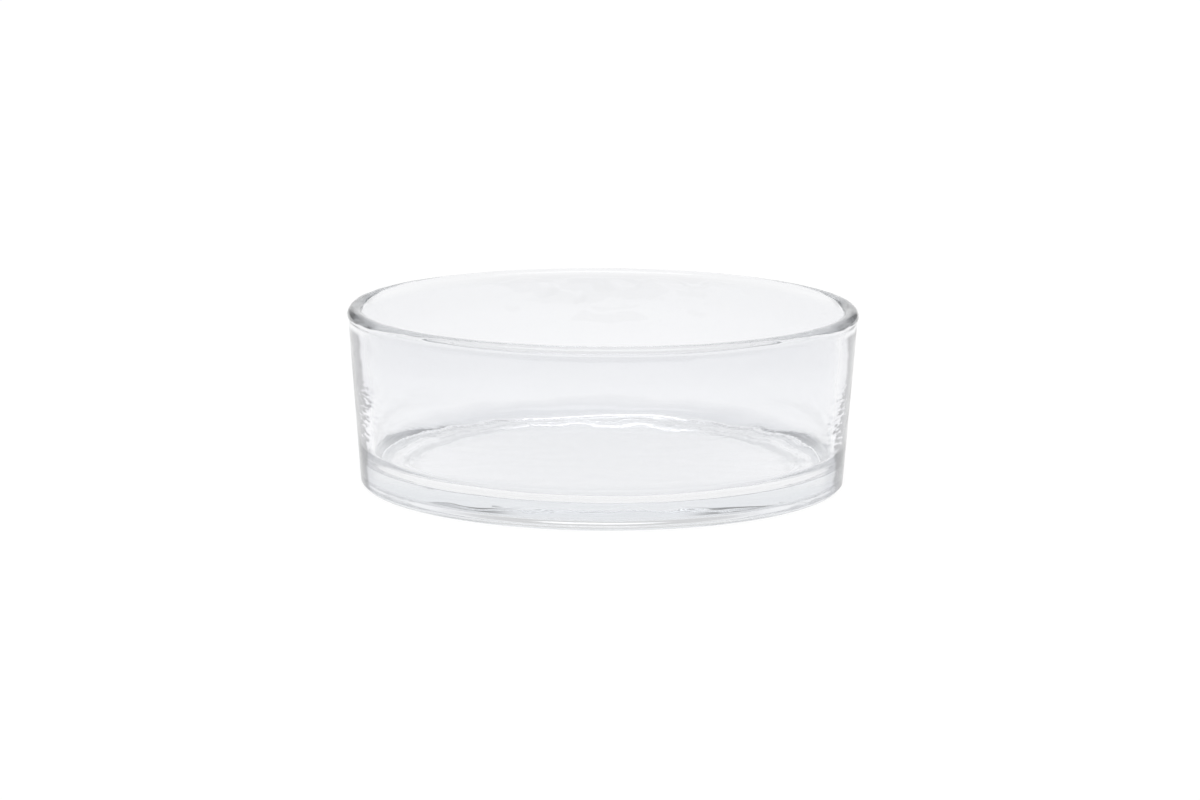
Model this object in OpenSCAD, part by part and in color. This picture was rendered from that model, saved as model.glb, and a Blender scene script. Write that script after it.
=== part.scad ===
// Crystallizing dish: a low, round, open bowl pressed from clear glass in one piece.
// The whole dish is one section turned about the Z axis. Units are millimetres, +Z is up,
// and the origin is the centre of the stand ring, in the plane that the dish rests on.

/* [Rim] */
// Outer diameter across the widest part of the rim
rim_d = 230; // [190:1:290]
// Thickness of the fire-polished rim, which is fully round on top
rim_t = 7.1; // [6.4:0.1:8.6]
// How far the rim bulges past the outer face of the wall
bead = 0.3; // [0.1:0.1:0.8]
// Radius of the hollow blend under the bulge
neck_r = 12; // [6:0.5:16]

/* [Wall] */
// Overall height of the dish
dish_h = 80; // [65:1:100]
// Slope of the outer wall, in degrees from vertical
outer_draft = 4.1; // [2:0.1:6]
// Thickness of the wall where it runs into the inner corner
wall_low_t = 7; // [6.5:0.1:9]

/* [Base] */
// Thickness of the glass from the stand ring's plane to the inner floor
base_t = 10.4; // [8:0.1:14]
// Radius of the inner corner between floor and wall
corner_r = 9.5; // [5:0.5:14]
// Radius of the heel, the outer edge at the bottom
heel_r = 2; // [1:0.1:4]
// Width of the flat stand ring that the dish rests on
ring_w = 17; // [8:0.5:20]
// How far the underside is recessed inside the stand ring
recess = 2; // [0.4:0.1:2.4]
// Width of the sloping step from the stand ring up to the recess
step_w = 3; // [2:0.5:6]

/* [Hidden] */
$fn = 240;

rim_r = rim_t / 2;
wall_top_t = rim_t - bead;
wall_run = dish_h - rim_r - base_t - corner_r;
inner_draft = outer_draft + atan((wall_low_t - wall_top_t) / wall_run);

// Section points are [distance from the axis, height]
rim_c = [rim_d / 2 - rim_r, dish_h - rim_r];
heel_c = beside_wall(outer_draft, rim_r - bead - heel_r, heel_r);
corner_c = beside_wall(inner_draft, -rim_r - corner_r, base_t + corner_r);
neck_off = rim_r - bead + neck_r;
neck_drop = sqrt(pow(rim_r + neck_r, 2) - pow(neck_off, 2));
neck_c = rim_c + neck_off * across(outer_draft) - neck_drop * along(outer_draft);
ring_in = heel_c[0] - ring_w;

// Unit vectors square to a sloping wall, away from the axis, and up along it
function across(draft) = [cos(draft), -sin(draft)];
function along(draft) = [sin(draft), cos(draft)];

// The point at height z on a line parallel to a wall and off to one side of the rim's centre
function beside_wall(draft, off, z) =
    let (p = rim_c + off * across(draft))
    p + along(draft) * (z - p[1]) / cos(draft);

module dot(centre, r) {
    translate(centre) circle(r = r);
}

// Straight-sided outline of the glass, with a corner at each arc's centre or tangent point
module straight_section() {
    polygon([
        [0, recess],
        [ring_in - step_w, recess],
        [ring_in, 0],
        [heel_c[0], 0],
        heel_c + heel_r * across(outer_draft),
        neck_c - neck_r * across(outer_draft),
        neck_c,
        rim_c,
        rim_c - rim_r * across(inner_draft),
        corner_c + corner_r * across(inner_draft),
        [corner_c[0], base_t],
        [0, base_t]
    ]);
}

// The same outline with its round heel, rim, neck and inner corner
module section() {
    difference() {
        union() {
            straight_section();
            dot(heel_c, heel_r);
            dot(rim_c, rim_r);
        }
        dot(neck_c, neck_r);
        dot(corner_c, corner_r);
    }
}

// The bowl: thick floor, flared wall and round rim, all one piece of glass
module dish() {
    color("lightcyan", 0.45)
        rotate_extrude() section();
}

dish();
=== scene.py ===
"""A clear pressed-glass crystallizing dish on a pale table, in soft studio light.

Metres, +Z up, with the origin at the centre of the ring that the dish stands on.
The dish is one section of the glass turned about Z, with the faint ripples of pressed glass.
"""
from math import atan, atan2, cos, degrees, exp, pi, radians, sin, sqrt
from typing import NamedTuple

import bmesh
import bpy
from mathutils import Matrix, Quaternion, Vector, noise


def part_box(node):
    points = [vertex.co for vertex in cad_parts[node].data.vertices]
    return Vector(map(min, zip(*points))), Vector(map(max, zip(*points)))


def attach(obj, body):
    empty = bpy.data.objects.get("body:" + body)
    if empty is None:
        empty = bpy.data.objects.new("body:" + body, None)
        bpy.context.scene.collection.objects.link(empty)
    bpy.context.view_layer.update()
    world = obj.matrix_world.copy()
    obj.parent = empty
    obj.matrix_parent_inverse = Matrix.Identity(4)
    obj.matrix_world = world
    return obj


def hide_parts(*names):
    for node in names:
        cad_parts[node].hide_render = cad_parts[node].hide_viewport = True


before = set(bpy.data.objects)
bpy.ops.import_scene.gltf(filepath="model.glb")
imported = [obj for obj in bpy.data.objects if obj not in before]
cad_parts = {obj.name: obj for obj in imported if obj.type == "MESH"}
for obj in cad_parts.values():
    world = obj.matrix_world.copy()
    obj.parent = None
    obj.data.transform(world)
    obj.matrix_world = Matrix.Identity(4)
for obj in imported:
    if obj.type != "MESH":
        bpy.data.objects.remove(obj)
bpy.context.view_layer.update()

DISH_LOW, DISH_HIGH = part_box("dish")

# --- The dish's sizes --------------------------------------------------------
MM = 0.001
RIM_RADIUS = DISH_HIGH[0]      # widest part of the rim
HEIGHT = DISH_HIGH[2]
RIM_T = 7.1 * MM               # thickness of the round rim
BEAD = 0.3 * MM                # how far the rim bulges past the outer face
NECK_R = 12 * MM               # hollow blend under the bulge
OUTER_DRAFT = 4.1              # slope of the outer wall, degrees from vertical
WALL_LOW_T = 7 * MM            # wall thickness where it meets the inner corner
BASE_T = 10.4 * MM             # height of the inner floor
CORNER_R = 9.5 * MM            # inner corner
HEEL_R = 2 * MM                # outer edge at the bottom
RING_W = 17 * MM               # flat ring that the dish stands on
STEP_W = 3 * MM                # slope from the ring up to the recess
RECESS = 2 * MM                # depth of the recess in the underside

SEGMENTS = 400                 # round the axis
CORNER_STEPS, SLOPE_STEPS = 20, 8

# Ripples of pressed glass: strongest round the inner corner, where the hot glass chilled last
CORNER_RIPPLE = 0.16 * MM
RIM_RIPPLE = 0.12 * MM
WALL_RIPPLE = 0.03 * MM
RIPPLE_FADE = 8 * MM           # how fast the stronger ripples die away from the corner and rim
PLAIN_MIDDLE = 32 * MM         # radius within which the floor's ripples die out
RIPPLE_AROUND, RIPPLE_UP = 13 * MM, 7 * MM

# --- The glass's colours -----------------------------------------------------
GLASS_IOR = 1.52
TINT, TINT_DENSITY = (0.60, 0.63, 0.67, 1), 2.2

# Painted shade by height, from base (0) to rim (1): a faint cool grey in the edge of the base and the
# upper wall
PAINTED_SHADE_BY_HEIGHT = [
    (0.0, (0.99, 0.993, 1.0)), (0.04, (0.94, 0.95, 0.965)), (0.1, (0.94, 0.95, 0.965)),
    (0.13, (0.99, 0.993, 1.0)), (0.7, (0.905, 0.91, 0.925)), (0.85, (0.885, 0.89, 0.905)),
    (0.93, (0.885, 0.89, 0.905)), (0.98, (0.94, 0.943, 0.95)),
]
# Painted shade over the inner corner of the glass
CORNER_PAINTED_SHADE = (0.8, 0.81, 0.83, 1)

# Painted shade on the outer wall: its brightness from face on (0) to edge on (1), and how the grey
# edge wanders
EDGE_PAINTED_SHADE_STOPS = [
    (0.62, (1, 1, 1)), (0.73, (0.78, 0.78, 0.81)), (0.78, (0.2, 0.2, 0.21)),
    (0.86, (0.18, 0.18, 0.19)), (0.92, (0.2, 0.2, 0.21)), (0.98, (0.25, 0.25, 0.26)),
]
WANDER_SIZE = (60 * MM, 18 * MM)
EDGE_WANDER, EDGE_BREAKS = 0.07, 0.15

# Fine level striae, on the lower half of the wall
STRIAE_SIZE = (7 * MM, 1.3 * MM)
STRIAE_DEPTH = 0.002 * MM
STRIAE_STOPS = [(0.2, (0, 0, 0)), (0.35, (1, 1, 1)), (0.5, (1, 1, 1)), (0.7, (0, 0, 0))]

# Mesh attributes that mark the outer wall and the inner corner
OUTSIDE, CORNER = "outside", "corner"

# --- The view ----------------------------------------------------------------
ELEVATION = 10.476             # degrees that the camera looks down
DISTANCE = 14 * RIM_RADIUS
LENS = 106.75
ROLL = 0.37                    # degrees
TARGET_HEIGHT = 0.35 * RIM_RADIUS
SHIFT_RIGHT, SHIFT_UP = -1.1 * MM, -3.9 * MM

# --- The light ---------------------------------------------------------------
# Strength of the surround behind, beside and before the dish, above it, and in the softbox
BACK_LIGHT, SIDE_LIGHT, FRONT_LIGHT = 1.0, 0.65, 0.35
TOP_LIGHT, SOFTBOX_LIGHT = 0.68, 2.3

# Where one strength fades into the next. Round the dish, as cosines of the angle from straight behind:
FRONT_FADE, BACK_FADE = (-0.75, -0.15), (-0.15, 0.5)
CARD_INNER_FADE, CARD_OUTER_FADE = (0.94, 0.98), (0.8, 0.88)
# Upwards, as sines of the height angle:
TOP_FADE, SOFTBOX_FADE, CARD_TOP_FADE = (0.55, 0.9), (0.75, 0.9), (0.22, 0.36)
# Towards the back of the softbox, as the direction's Y:
SOFTBOX_BACK_FADE = (-0.15, 0.0)

# The low grey cards' share of the surround's strength
CARD_LIGHT = 0.35

# The table, and the dimmer disc of it under the dish
TABLE_RADIUS = 8.0
TABLE_DROP = 0.2 * MM
TABLE_GLOW, UNDER_GLOW = 0.94, 0.87
SHADE_INNER, SHADE_OUTER = 100 * MM, 109 * MM


# --- Outline of the glass, as [distance from the axis, height] ---------------
def across(draft):
    """Unit vector square to a sloping wall, away from the axis."""
    return Vector((cos(radians(draft)), -sin(radians(draft))))


def along(draft):
    """Unit vector up a sloping wall."""
    return Vector((sin(radians(draft)), cos(radians(draft))))


def straight(start, end, steps):
    """Evenly spaced points between two points, without the two themselves."""
    return [start.lerp(end, i / steps) for i in range(1, steps)]


def arc(centre, radius, start, end, steps):
    """Points on an arc, its two ends included. Angles in degrees from the radial direction."""
    turn = [radians(start + (end - start) * i / steps) for i in range(steps + 1)]
    return [centre + radius * Vector((cos(a), sin(a))) for a in turn]


def heading(vector):
    return degrees(atan2(vector.y, vector.x))


def ease(u):
    """Smooth step from 0 to 1."""
    return u * u * (3 - 2 * u)


class Station(NamedTuple):
    """A point of the section, how deep the ripples are there, and where it lies: from 0 to 1."""

    point: Vector
    depth: float
    outside: float
    corner: float


def outline():
    """The glass's section, from the axis under the base, over the rim, to the axis on the floor."""
    rim_r = RIM_T / 2
    rim_c = Vector((RIM_RADIUS - rim_r, HEIGHT - rim_r))
    wall_run = rim_c.y - BASE_T - CORNER_R
    inner_draft = OUTER_DRAFT + degrees(atan((WALL_LOW_T - RIM_T + BEAD) / wall_run))

    def beside_wall(draft, off, height):
        point = rim_c + off * across(draft)
        return point + along(draft) * (height - point.y) / cos(radians(draft))

    heel_c = beside_wall(OUTER_DRAFT, rim_r - BEAD - HEEL_R, HEEL_R)
    corner_c = beside_wall(inner_draft, -rim_r - CORNER_R, BASE_T + CORNER_R)
    neck_off = rim_r - BEAD + NECK_R
    neck_drop = sqrt((rim_r + NECK_R) ** 2 - neck_off ** 2)
    neck_c = rim_c + neck_off * across(OUTER_DRAFT) - neck_drop * along(OUTER_DRAFT)

    def depth(point):
        """How deep the ripples are at a point. The stand ring and the floor's middle are plain."""
        if point.y <= 0:
            return 0
        from_corner = (point - Vector((corner_c.x, BASE_T))).length
        from_rim = (point - rim_c).length - rim_r
        near_corner = (CORNER_RIPPLE - WALL_RIPPLE) * exp(-from_corner / RIPPLE_FADE)
        near_rim = (RIM_RIPPLE - WALL_RIPPLE) * exp(-from_rim / RIPPLE_FADE)
        away_from_axis = ease(min(1, point.x / PLAIN_MIDDLE))
        return (WALL_RIPPLE + near_corner + near_rim) * away_from_axis

    ring_in = heel_c.x - RING_W
    step_in = ring_in - STEP_W
    axis_low, axis_high = Vector((0, RECESS)), Vector((0, BASE_T))
    recess_edge = Vector((step_in, RECESS))
    shares = [i / SLOPE_STEPS for i in range(1, SLOPE_STEPS + 1)]
    slope = [Vector((step_in + STEP_W * u, RECESS * (1 - ease(u)))) for u in shares]
    heel = arc(heel_c, HEEL_R, -90, -OUTER_DRAFT, 10)
    neck = arc(neck_c, NECK_R, 180 - OUTER_DRAFT, heading(rim_c - neck_c), 8)
    rim = arc(rim_c, rim_r, heading(neck_c - rim_c), 180 - inner_draft, 40)
    corner = arc(corner_c, CORNER_R, -inner_draft, -90, CORNER_STEPS)
    points = (
        [axis_low] + straight(axis_low, recess_edge, 12) + [recess_edge] + slope
        + straight(slope[-1], heel[0], 5) + heel
        + straight(heel[-1], neck[0], 44) + neck[:-1] + rim
        + straight(rim[-1], corner[0], 40) + corner
        + straight(corner[-1], axis_high, 24) + [axis_high]
    )
    outer_wall = range(points.index(heel[-1]), points.index(neck[0]))
    in_corner = {id(point): sin(pi * i / CORNER_STEPS) for i, point in enumerate(corner)}
    return [
        Station(point, depth(point), i in outer_wall, in_corner.get(id(point), 0))
        for i, point in enumerate(points)
    ]


def panel(low, high, here, there):
    """Corners of one face between two rings of points, either of which may be a lone point."""
    if len(low) == 1:
        return [low[0], high[there], high[here]]
    if len(high) == 1:
        return [low[here], low[there], high[0]]
    return [low[here], low[there], high[there], high[here]]


def ripple(place):
    """From -1 to 1, changing smoothly over the ripples' spacing."""
    return noise.noise((place.x / RIPPLE_AROUND, place.y / RIPPLE_AROUND, place.z / RIPPLE_UP))


def turned(name, outline, segments):
    """A closed mesh: the outline turned about Z and rippled. Its two end points lie on the axis."""
    mesh = bmesh.new()
    on_outside = mesh.verts.layers.float.new(OUTSIDE)
    in_corner = mesh.verts.layers.float.new(CORNER)
    rings = []
    for i, station in enumerate(outline):
        point = station.point
        if point.x == 0:
            rings.append([mesh.verts.new((0, 0, point.y))])
            continue
        before, after = outline[i - 1].point, outline[i + 1].point
        facing = Vector((after.y - before.y, before.x - after.x)).normalized()
        ring = []
        for turn in range(segments):
            angle = 2 * pi * turn / segments
            out = Vector((cos(angle), sin(angle), 0))
            place = point.x * out + Vector((0, 0, point.y))
            push = station.depth * ripple(place)
            vertex = mesh.verts.new(place + push * (facing.x * out + Vector((0, 0, facing.y))))
            vertex[on_outside] = station.outside
            vertex[in_corner] = station.corner
            ring.append(vertex)
        rings.append(ring)
    for low, high in zip(rings, rings[1:]):
        for i in range(segments):
            mesh.faces.new(panel(low, high, i, (i + 1) % segments)).smooth = True
    bmesh.ops.recalc_face_normals(mesh, faces=mesh.faces)
    data = bpy.data.meshes.new(name)
    mesh.to_mesh(data)
    mesh.free()
    piece = bpy.data.objects.new(name, data)
    bpy.context.scene.collection.objects.link(piece)
    return piece


# --- Materials ---------------------------------------------------------------
def clear_glass():
    material = bpy.data.materials.new("clear_glass")
    material.use_nodes = True
    nodes, links = material.node_tree.nodes, material.node_tree.links
    shader = nodes["Principled BSDF"]
    shader.inputs["Transmission Weight"].default_value = 1
    shader.inputs["Roughness"].default_value = 0
    shader.inputs["IOR"].default_value = GLASS_IOR
    place = nodes.new("ShaderNodeTexCoord").outputs["Object"]
    level = height_share(nodes, links, place)
    striae = striae_pattern(nodes, links, place, level)
    bump = nodes.new("ShaderNodeBump")
    bump.inputs["Distance"].default_value = STRIAE_DEPTH
    links.new(striae, bump.inputs["Height"])
    links.new(bump.outputs["Normal"], shader.inputs["Normal"])
    # Painted shade: the glass made greyer by height
    painted_height_shade = ramp_of(nodes, links, level, PAINTED_SHADE_BY_HEIGHT)
    # Painted shade: the outer wall greyer where it is seen nearly edge on
    colour = painted_edge_shade(nodes, links, place, striae, painted_height_shade)
    # Painted shade: the inner corner made greyer
    corner_shaded = shade_where(nodes, links, CORNER, colour)
    corner_shaded.inputs["B"].default_value = CORNER_PAINTED_SHADE
    links.new(corner_shaded.outputs["Result"], shader.inputs["Base Color"])
    tint = nodes.new("ShaderNodeVolumeAbsorption")
    tint.inputs["Color"].default_value = TINT
    tint.inputs["Density"].default_value = TINT_DENSITY
    links.new(tint.outputs["Volume"], nodes["Material Output"].inputs["Volume"])
    return material


def height_share(nodes, links, place):
    """Height on the dish, from 0 at the bench to 1 at the rim."""
    height = nodes.new("ShaderNodeSeparateXYZ")
    links.new(place, height.inputs["Vector"])
    level = nodes.new("ShaderNodeMapRange")
    level.inputs["From Max"].default_value = HEIGHT
    links.new(height.outputs["Z"], level.inputs["Value"])
    return level.outputs["Result"]


def striae_pattern(nodes, links, place, level):
    """Fine level lines, only at the heights that STRIAE_STOPS gives."""
    lines = unevenness(nodes, links, place, STRIAE_SIZE, 3)
    where = ramp_of(nodes, links, level, STRIAE_STOPS)
    return sum_of(nodes, links, "MULTIPLY", lines, where)


def ramp_of(nodes, links, value, stops):
    """The value's colour on a smooth ramp."""
    node = nodes.new("ShaderNodeValToRGB")
    set_stops(node.color_ramp, stops)
    links.new(value, node.inputs["Fac"])
    return node.outputs["Color"]


def set_stops(ramp, stops):
    """Fill a colour ramp, which has two stops to start with."""
    ramp.interpolation = "EASE"
    ramp.elements[0].position = stops[0][0]
    ramp.elements[1].position = stops[-1][0]
    for place, colour in stops[1:-1]:
        ramp.elements.new(place)
    for element, (place, colour) in zip(ramp.elements, stops):
        element.color = (*colour, 1)


def unevenness(nodes, links, place, size, detail):
    """Noise from -1 to 1, with features of the given size across and upwards."""
    across, upwards = size
    scaled = nodes.new("ShaderNodeMapping")
    scaled.inputs["Scale"].default_value = (1 / across, 1 / across, 1 / upwards)
    links.new(place, scaled.inputs["Vector"])
    pattern = nodes.new("ShaderNodeTexNoise")
    pattern.normalize = False
    pattern.inputs["Scale"].default_value = 1
    pattern.inputs["Detail"].default_value = detail
    links.new(scaled.outputs["Vector"], pattern.inputs["Vector"])
    return pattern.outputs["Fac"]


def sum_of(nodes, links, operation, first, second, third=0):
    """A sum on two or three values, each a socket or a number."""
    node = nodes.new("ShaderNodeMath")
    node.operation = operation
    for value, socket in zip((first, second, third), node.inputs):
        if hasattr(value, "default_value"):
            links.new(value, socket)
        else:
            socket.default_value = value
    return node.outputs[0]


def painted_edge_shade(nodes, links, place, striae, colour):
    """The colour, with a painted shade: greyer where the outer wall is seen nearly edge on.

    The grey band wanders, and breaks into fine level lines where the striae are.
    """
    glance = nodes.new("ShaderNodeLayerWeight")
    glance.inputs["Blend"].default_value = 0.5
    wander = unevenness(nodes, links, place, WANDER_SIZE, 2)
    view = sum_of(nodes, links, "MULTIPLY_ADD", wander, EDGE_WANDER, glance.outputs["Facing"])
    view = sum_of(nodes, links, "MULTIPLY_ADD", striae, EDGE_BREAKS, view)
    shaded = shade_where(nodes, links, OUTSIDE, colour)
    links.new(ramp_of(nodes, links, view, EDGE_PAINTED_SHADE_STOPS), shaded.inputs["B"])
    return shaded.outputs["Result"]


def shade_where(nodes, links, part, colour):
    """A mix that multiplies the colour by its socket B, only in one part of the mesh."""
    where = nodes.new("ShaderNodeAttribute")
    where.attribute_name = part
    shaded = nodes.new("ShaderNodeMix")
    shaded.data_type = "RGBA"
    shaded.blend_type = "MULTIPLY"
    links.new(where.outputs["Fac"], shaded.inputs["Factor"])
    links.new(colour, shaded.inputs["A"])
    return shaded


def pale_table():
    """Pale and evenly lit, and a little dimmer in the dish's contact shade."""
    material = bpy.data.materials.new("pale_table")
    material.use_nodes = True
    nodes, links = material.node_tree.nodes, material.node_tree.links
    shader = nodes["Principled BSDF"]
    shader.inputs["Base Color"].default_value = (0.1, 0.1, 0.1, 1)
    shader.inputs["Roughness"].default_value = 0.9
    shader.inputs["Specular IOR Level"].default_value = 0
    shader.inputs["Emission Color"].default_value = (1, 1, 1, 1)
    place = nodes.new("ShaderNodeTexCoord")
    reach = nodes.new("ShaderNodeVectorMath")
    reach.operation = "LENGTH"
    links.new(place.outputs["Object"], reach.inputs[0])
    glow = nodes.new("ShaderNodeMapRange")
    glow.interpolation_type = "SMOOTHSTEP"
    glow.inputs["From Min"].default_value = SHADE_INNER
    glow.inputs["From Max"].default_value = SHADE_OUTER
    glow.inputs["To Min"].default_value = UNDER_GLOW
    glow.inputs["To Max"].default_value = TABLE_GLOW
    links.new(reach.outputs["Value"], glow.inputs["Value"])
    links.new(glow.outputs["Result"], shader.inputs["Emission Strength"])
    return material


# --- Pieces ------------------------------------------------------------------
def make_dish():
    dish = turned("glass_dish", outline(), SEGMENTS)
    dish.data.materials.append(clear_glass())
    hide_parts("dish")
    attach(dish, "root")
    return dish


def make_table():
    mesh = bmesh.new()
    bmesh.ops.create_circle(mesh, cap_ends=True, radius=TABLE_RADIUS, segments=96)
    data = bpy.data.meshes.new("table")
    mesh.to_mesh(data)
    mesh.free()
    table = bpy.data.objects.new("table", data)
    table.location.z = -TABLE_DROP
    table.data.materials.append(pale_table())
    bpy.context.scene.collection.objects.link(table)


# --- Light and camera --------------------------------------------------------
class Sums:
    """Small arithmetic on the world's node sockets."""

    def __init__(self, tree):
        self.tree = tree

    def _node(self, kind, values):
        node = self.tree.nodes.new(kind)
        for name, value in values.items():
            if isinstance(value, (int, float)):
                node.inputs[name].default_value = value
            else:
                self.tree.links.new(value, node.inputs[name])
        return node

    def math(self, operation, first, second=0.0):
        node = self._node("ShaderNodeMath", {0: first, 1: second})
        node.operation = operation
        return node.outputs[0]

    def ramp(self, value, low, high, at_low, at_high):
        """at_low up to low, at_high from high on, and a smooth change between."""
        node = self._node("ShaderNodeMapRange", {
            "Value": value, "From Min": low, "From Max": high, "To Min": at_low, "To Max": at_high})
        node.interpolation_type = "SMOOTHSTEP"
        return node.outputs[0]


def light_studio():
    """A soft white surround: brightest behind the dish, dimmest behind the camera.

    One softbox hangs overhead, on the camera's side of the dish. A low grey card stands behind
    the dish on each side, so that the thick base has a dark line where it mirrors the card.
    """
    world = bpy.data.worlds.new("studio")
    world.use_nodes = True
    bpy.context.scene.world = world
    tree = world.node_tree
    sums = Sums(tree)
    way = tree.nodes.new("ShaderNodeSeparateXYZ")
    tree.links.new(tree.nodes.new("ShaderNodeTexCoord").outputs["Generated"], way.inputs[0])
    x, y, z = way.outputs
    square = sums.math("ADD", sums.math("MULTIPLY", x, x), sums.math("MULTIPLY", y, y))
    level = sums.math("SQRT", square)
    back = sums.math("DIVIDE", y, sums.math("MAXIMUM", level, 0.001))
    front_half = sums.ramp(back, *FRONT_FADE, FRONT_LIGHT, SIDE_LIGHT)
    ring = sums.ramp(back, *BACK_FADE, front_half, BACK_LIGHT)
    dome = sums.ramp(z, *TOP_FADE, ring, TOP_LIGHT)
    overhead = sums.ramp(z, *SOFTBOX_FADE, 0, 1)
    near_camera = sums.ramp(y, *SOFTBOX_BACK_FADE, 1, 0)
    box = sums.math("MULTIPLY", overhead, near_camera)
    softbox = sums.math("MULTIPLY", box, SOFTBOX_LIGHT - TOP_LIGHT)
    within = sums.ramp(back, *CARD_OUTER_FADE, 0, 1)
    clear_of_middle = sums.ramp(back, *CARD_INNER_FADE, 1, 0)
    low = sums.ramp(z, *CARD_TOP_FADE, 1, 0)
    card = sums.math("MULTIPLY", sums.math("MULTIPLY", within, clear_of_middle), low)
    kept = sums.math("SUBTRACT", 1, sums.math("MULTIPLY", card, 1 - CARD_LIGHT))
    light = sums.math("ADD", sums.math("MULTIPLY", dome, kept), softbox)
    tree.links.new(light, tree.nodes["Background"].inputs["Strength"])
    tree.nodes["Background"].inputs["Color"].default_value = (1, 1, 1, 1)


def place_camera():
    tilt = radians(ELEVATION)
    target = Vector((0, 0, TARGET_HEIGHT))
    spot = target + DISTANCE * Vector((0, -cos(tilt), sin(tilt)))
    aim = target + SHIFT_RIGHT * Vector((1, 0, 0)) + SHIFT_UP * Vector((0, sin(tilt), cos(tilt)))
    camera = bpy.data.objects.new("camera", bpy.data.cameras.new("camera"))
    camera.data.sensor_width = 36
    camera.data.lens = LENS
    camera.data.clip_start = 0.01
    camera.rotation_mode = "QUATERNION"
    camera.location = spot
    roll = Quaternion((0, 0, 1), radians(ROLL))
    camera.rotation_quaternion = (aim - spot).to_track_quat("-Z", "Y") @ roll
    bpy.context.scene.collection.objects.link(camera)
    bpy.context.scene.camera = camera


def set_light_paths():
    """Thick glass needs long light paths, and reflections inside the glass count as glossy."""
    scene = bpy.context.scene
    scene.view_settings.view_transform = "Standard"
    scene.cycles.max_bounces = 64
    scene.cycles.transmission_bounces = 64
    scene.cycles.glossy_bounces = 64
    scene.cycles.diffuse_bounces = 4


make_dish()
make_table()
light_studio()
place_camera()
set_light_paths()
